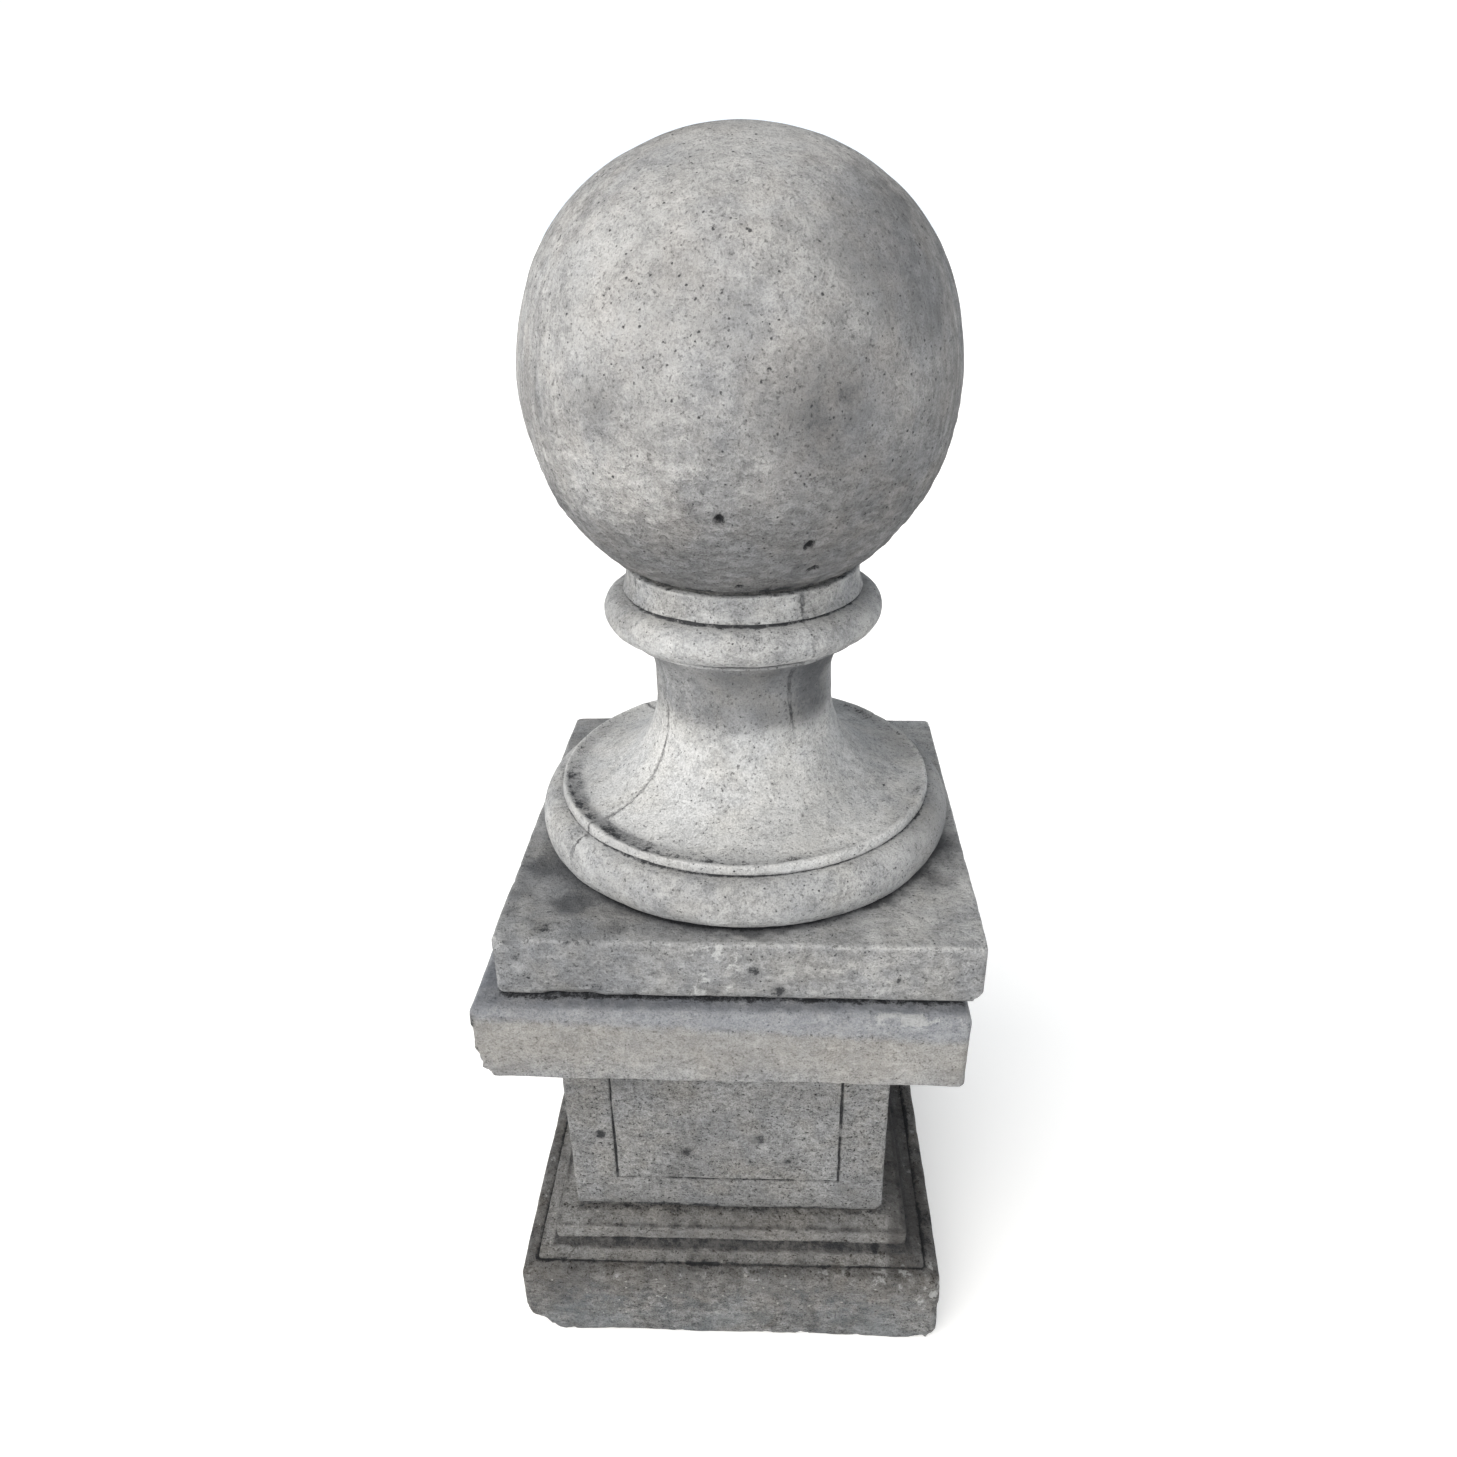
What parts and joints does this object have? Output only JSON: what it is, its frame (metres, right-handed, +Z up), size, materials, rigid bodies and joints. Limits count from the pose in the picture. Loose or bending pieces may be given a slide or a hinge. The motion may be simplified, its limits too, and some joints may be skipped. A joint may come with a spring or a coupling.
{
  "type": "garden ball finial on pedestal",
  "caption": "Weathered cast-stone ball finial on a turned socle, standing on a square pedestal with cap, panelled die and stepped base.",
  "frame": {"origin": "centre of the pedestal base's underside, on the ground", "axes": "+Z up, -Y out of the front face, +X to the right seen from the front"},
  "size_m": [0.4914, 0.4819, 1.2182],
  "materials": {
    "ball_stone": "weathered cast stone, light warm grey, pitted",
    "socle_stone": "weathered cast stone, pale cream grey",
    "cap_stone": "weathered cast stone, mid grey, tan below the drip line",
    "die_stone": "weathered cast stone, grey",
    "base_stone": "damp, algae-darkened cast stone",
    "mortar": "dirty sand and cement mortar",
    "dowel_steel": "plain stainless steel bar"
  },
  "bodies": {
    "root": {"base": "base_stone", "die_mortar": "mortar", "die": "die_stone", "cap_mortar": "mortar", "cap": "cap_stone", "socle": "socle_stone", "ball_mortar": "mortar", "ball_dowel": "dowel_steel", "ball": "ball_stone"}
  },
  "joints": []
}
